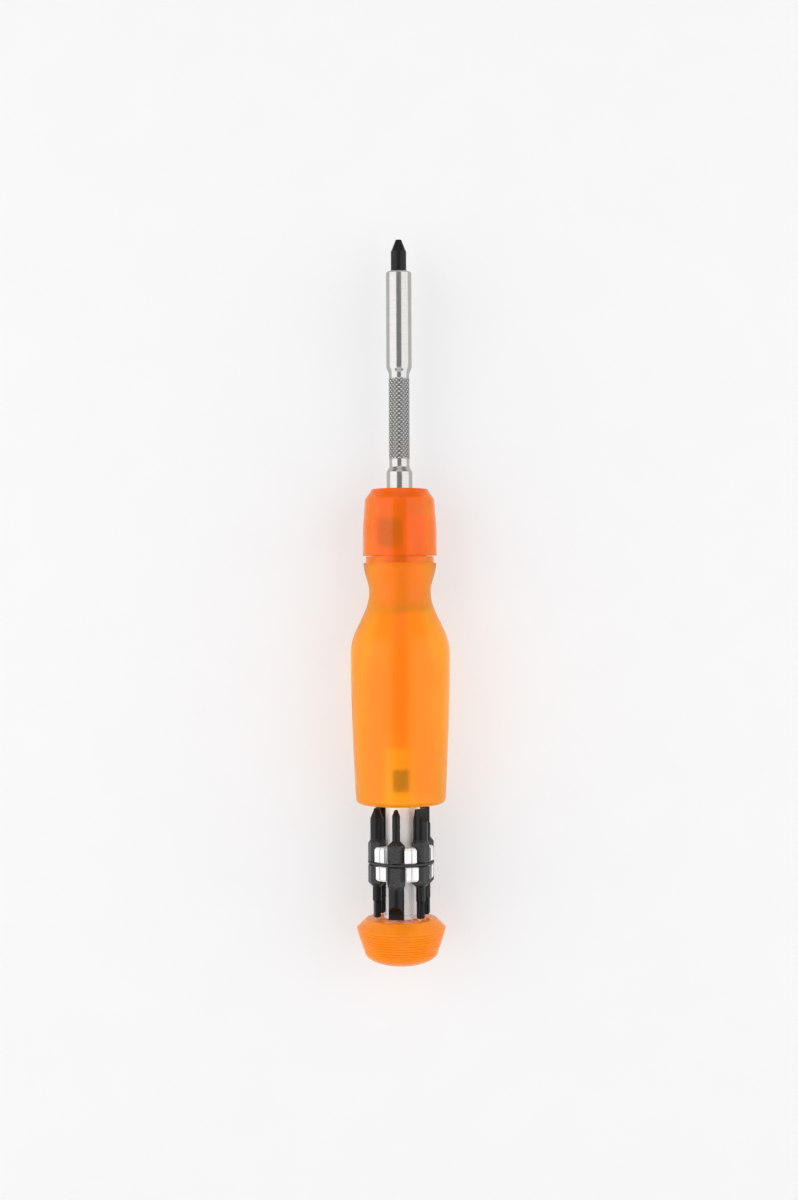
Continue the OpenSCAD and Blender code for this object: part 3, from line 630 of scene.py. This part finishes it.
def build_cap():
    end, face, rim_r = span("end_cap")
    hole_end = span("cap_axle")[0] - GAP
    ring_at, ring_end, ring_r = span("cap_ring")
    washer_at, _, washer_r = span("cap_washer")
    washer_seat = washer_at - GAP / 3
    side_at = face - CAP_CONE
    dome_at = side_at - CAP_SIDE
    dome_r = rim_r - CAP_DRAW
    inside = [
        (hole_end, 0), (hole_end, STUD_HOLE_R), (ring_at - GAP, STUD_HOLE_R), (ring_at - GAP, ring_r + GAP),
        (ring_end + GAP, ring_r + GAP), (ring_end + GAP, STUD_HOLE_R), (washer_seat, STUD_HOLE_R),
        (washer_seat, washer_r + GAP)]
    front = [
        (face - FACE_STEP, washer_r + GAP), (face - FACE_STEP, FACE_STEP_R),
        (face, FACE_STEP_R + FACE_STEP), (face, CAP_FACE_R), (side_at, rim_r)]
    side = []
    ridge = CAP_SIDE / CAP_RIDGES
    for i in range(CAP_RIDGES):
        radius = rim_r - CAP_DRAW * ((i + 1) / CAP_RIDGES) ** CAP_BOW
        side += [(side_at - ridge * (i + RIDGE_TOP), radius + RIDGE_RISE),
                 (side_at - ridge * (i + RIDGE_GROOVE), radius - CAP_RIDGE),
                 (side_at - ridge * (i + 1), radius)]
    arc = [math.pi / 2 * i / DOME_STEPS for i in range(1, DOME_STEPS)]
    dome = [(dome_at + (end - dome_at) * math.sin(a), dome_r * math.cos(a)) for a in arc]
    cap = lathe("cap_shell", inside + soften(front, CAP_SOFT) + side + dome + [(end, 0)])
    dress(cap, "cap", CAP, "end_cap")


# Camera, floor and light
CAMERA_OFFSET = (-0.00041, 0.000975)
CAMERA_UP = 0.70
CAMERA_LENS = 51.24
CAMERA_SENSOR = 36
CAMERA_ROLL = math.radians(-0.25)
FLOOR_HALF = 1.0
FLOOR_DROP = -0.00005
FLOOR_LIFT = 0.4
FLOOR_WHITE = (0.96, 0.96, 0.96, 1)
WORLD_GREY = (0.40, 0.40, 0.40, 1)
WORLD_WHITE = (0.95, 0.95, 0.95, 1)
# x, y, height, width and length of each soft light in metres, and its radiance
SOFTBOXES = {
    "softbox_left": (-0.86, 0, 0.52, 1.3, 1.5, 1.55),
    "softbox_right": (0.86, 0, 0.52, 1.3, 1.5, 1.4),
    "softbox_front": (0, 1.1, 1.0, 1.2, 1.2, 0.6),
    "softbox_back": (0, -1.1, 1.0, 1.2, 1.2, 0.6)}


def add_camera():
    data = bpy.data.cameras.new("camera")
    data.sensor_width = CAMERA_SENSOR
    data.lens = CAMERA_LENS
    camera = bpy.data.objects.new("camera", data)
    camera.location = (*CAMERA_OFFSET, AXIS_Z + CAMERA_UP)
    camera.rotation_euler = (0, 0, CAMERA_ROLL)
    bpy.context.scene.collection.objects.link(camera)
    bpy.context.scene.camera = camera


def stay_pale(material):
    """Adds a share of plain white where the camera, metal or clear plastic sees the surface."""
    nodes, links = material.node_tree.nodes, material.node_tree.links
    path = nodes.new("ShaderNodeLightPath")
    seen = path.outputs["Is Camera Ray"]
    for kind in ("Is Glossy Ray", "Is Transmission Ray"):
        either = nodes.new("ShaderNodeMath")
        either.operation = "MAXIMUM"
        links.new(seen, either.inputs[0])
        links.new(path.outputs[kind], either.inputs[1])
        seen = either.outputs["Value"]
    share = nodes.new("ShaderNodeMath")
    share.operation = "MULTIPLY"
    share.inputs[1].default_value = FLOOR_LIFT
    links.new(seen, share.inputs[0])
    white = nodes.new("ShaderNodeEmission")
    white.inputs["Color"].default_value = FLOOR_WHITE
    mix = nodes.new("ShaderNodeMixShader")
    links.new(share.outputs["Value"], mix.inputs["Fac"])
    links.new(nodes["Principled BSDF"].outputs["BSDF"], mix.inputs[1])
    links.new(white.outputs["Emission"], mix.inputs[2])
    links.new(mix.outputs["Shader"], nodes["Material Output"].inputs["Surface"])


def add_floor():
    material = new_material("floor_paper", IOR=1.3)
    ramp_colour(material, add_noise(material, scale=40, detail=3),
                (NOISE_LOW, (0.825, 0.825, 0.83)), (NOISE_HIGH, (0.84, 0.84, 0.845)))
    vary_roughness(material, add_noise(material, scale=200, detail=2), low=0.7, high=0.8)
    stay_pale(material)
    ends = ((-1, -1), (1, -1), (1, 1), (-1, 1))
    corners = [(x * FLOOR_HALF, y * FLOOR_HALF, FLOOR_DROP) for x, y in ends]
    floor = new_piece("floor", corners, [(0, 1, 2, 3)])
    floor.data.materials.append(material)


def add_softbox(name, x, y, height, width, length, radiance):
    """Large soft light beside the tool, turned toward it."""
    data = bpy.data.lights.new(name, "AREA")
    data.shape = "RECTANGLE"
    data.size = width
    data.size_y = length
    data.energy = radiance * width * length * math.pi
    light = bpy.data.objects.new(name, data)
    light.location = (x, y, height)
    light.rotation_euler = Vector((x, y, height)).to_track_quat("Z", "Y").to_euler()
    bpy.context.scene.collection.objects.link(light)


def add_world():
    """Dim grey all round, plain white where the camera sees past the floor."""
    world = bpy.data.worlds.new("studio")
    world.use_nodes = True
    nodes, links = world.node_tree.nodes, world.node_tree.links
    grey = nodes["Background"]
    grey.inputs["Color"].default_value = WORLD_GREY
    white = nodes.new("ShaderNodeBackground")
    white.inputs["Color"].default_value = WORLD_WHITE
    path = nodes.new("ShaderNodeLightPath")
    choose = nodes.new("ShaderNodeMixShader")
    links.new(path.outputs["Is Camera Ray"], choose.inputs["Fac"])
    links.new(grey.outputs["Background"], choose.inputs[1])
    links.new(white.outputs["Background"], choose.inputs[2])
    links.new(choose.outputs["Shader"], nodes["World Output"].inputs["Surface"])
    bpy.context.scene.world = world


add_camera()
add_floor()
for box_name, box_sizes in SOFTBOXES.items():
    add_softbox(box_name, *box_sizes)
add_world()
bpy.context.scene.view_settings.view_transform = "Standard"

dress_cad_nodes()
build_grip()
build_collar()
build_shaft()
build_cap()
